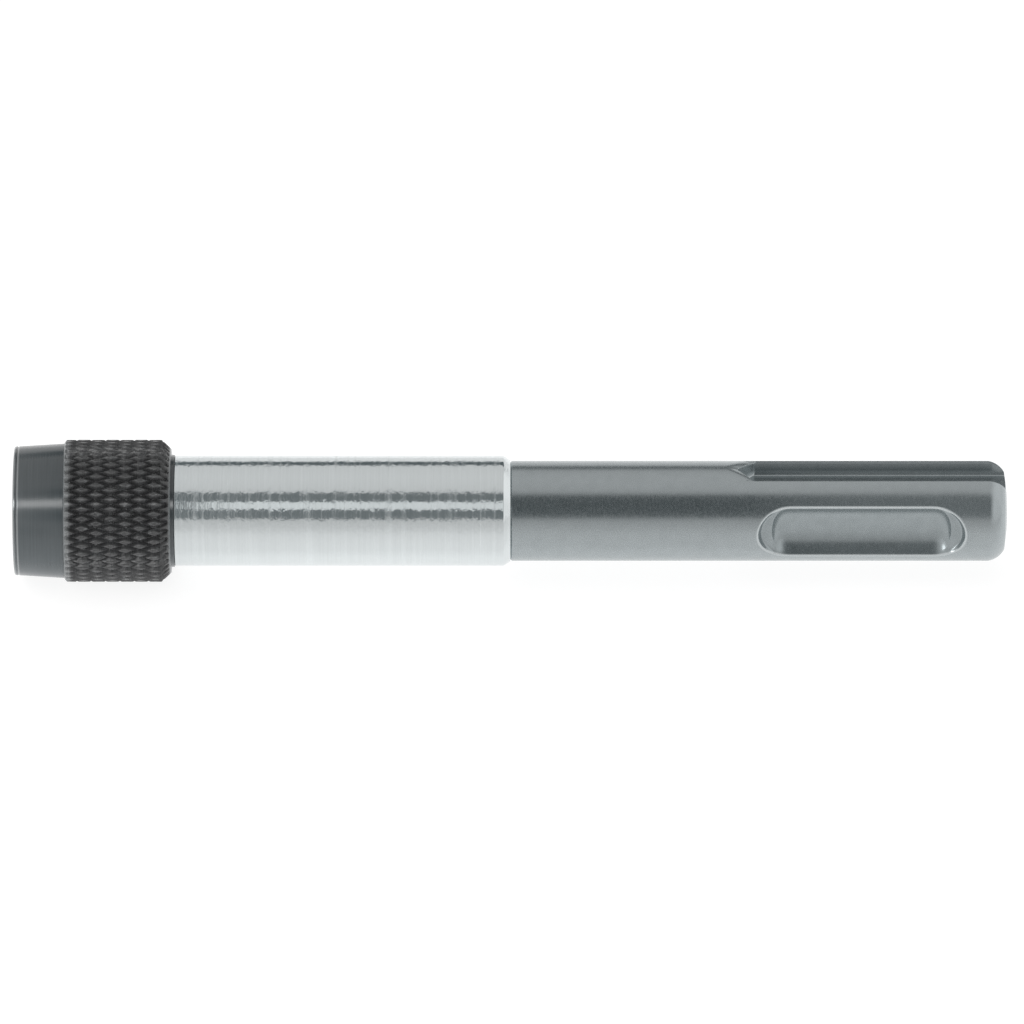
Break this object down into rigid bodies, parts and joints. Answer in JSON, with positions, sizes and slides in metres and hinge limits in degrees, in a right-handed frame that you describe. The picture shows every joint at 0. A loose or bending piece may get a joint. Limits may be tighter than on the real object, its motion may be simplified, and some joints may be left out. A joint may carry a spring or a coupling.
{
  "type": "bit holder",
  "caption": "Quick-release holder for quarter-inch hex bits, with a knurled sliding collar, a bright sleeve and a slotted 10 mm hammer-drill shank.",
  "frame": {"origin": "centre of the hex socket's mouth, on the holder's axis", "axes": "+X along the axis from the socket's mouth to the shank's tip; the drive grooves face +Z and -Z, the lock pockets +Y and -Y"},
  "size_m": [0.0991, 0.0142, 0.0142],
  "materials": {
    "bright_nickel": "bright nickel plate with fine turning marks",
    "satin_steel": "satin ground steel",
    "brass": "turned",
    "magnet_nickel": "nickel plated magnet",
    "black_oxide": "black oxide, diamond knurl",
    "spring_steel": "oiled spring wire",
    "zinc_steel": "zinc plated",
    "ball_steel": "polished"
  },
  "bodies": {
    "holder": {"holder_body": "bright_nickel", "sds_shank": "satin_steel", "magnet_bush": "brass", "bit_magnet": "magnet_nickel", "spring_washer": "zinc_steel", "retaining_ring": "spring_steel"},
    "spring": {"collar_spring": "spring_steel"},
    "collar": {"release_collar": "black_oxide"},
    "ball_1": {"locking_ball_1": "ball_steel"},
    "ball_2": {"locking_ball_2": "ball_steel"},
    "ball_3": {"locking_ball_3": "ball_steel"}
  },
  "joints": [
    {"name": "collar_slide", "type": "slide", "parent": "holder", "child": "spring", "axis": [-1, 0, 0], "range_m": [0, 0.0022], "stiffness_N_per_m": 2500, "springref_m": -0.0022, "deforming": ["collar_spring"]},
    {"name": "collar_spin", "type": "hinge", "parent": "spring", "child": "collar", "pos_m": [0, 0, 0], "axis": [1, 0, 0], "continuous": true},
    {"name": "ball_1_lift", "type": "slide", "parent": "holder", "child": "ball_1", "axis": [0, 0, 1], "range_m": [0, 0.000575]},
    {"name": "ball_2_lift", "type": "slide", "parent": "holder", "child": "ball_2", "axis": [0, -0.866, -0.5], "range_m": [0, 0.000575]},
    {"name": "ball_3_lift", "type": "slide", "parent": "holder", "child": "ball_3", "axis": [0, 0.866, -0.5], "range_m": [0, 0.000575]}
  ],
  "couplings": [
    {"joint": "ball_1_lift", "follows": "collar_slide", "ratio": 0.26},
    {"joint": "ball_2_lift", "follows": "collar_slide", "ratio": 0.26},
    {"joint": "ball_3_lift", "follows": "collar_slide", "ratio": 0.26}
  ]
}
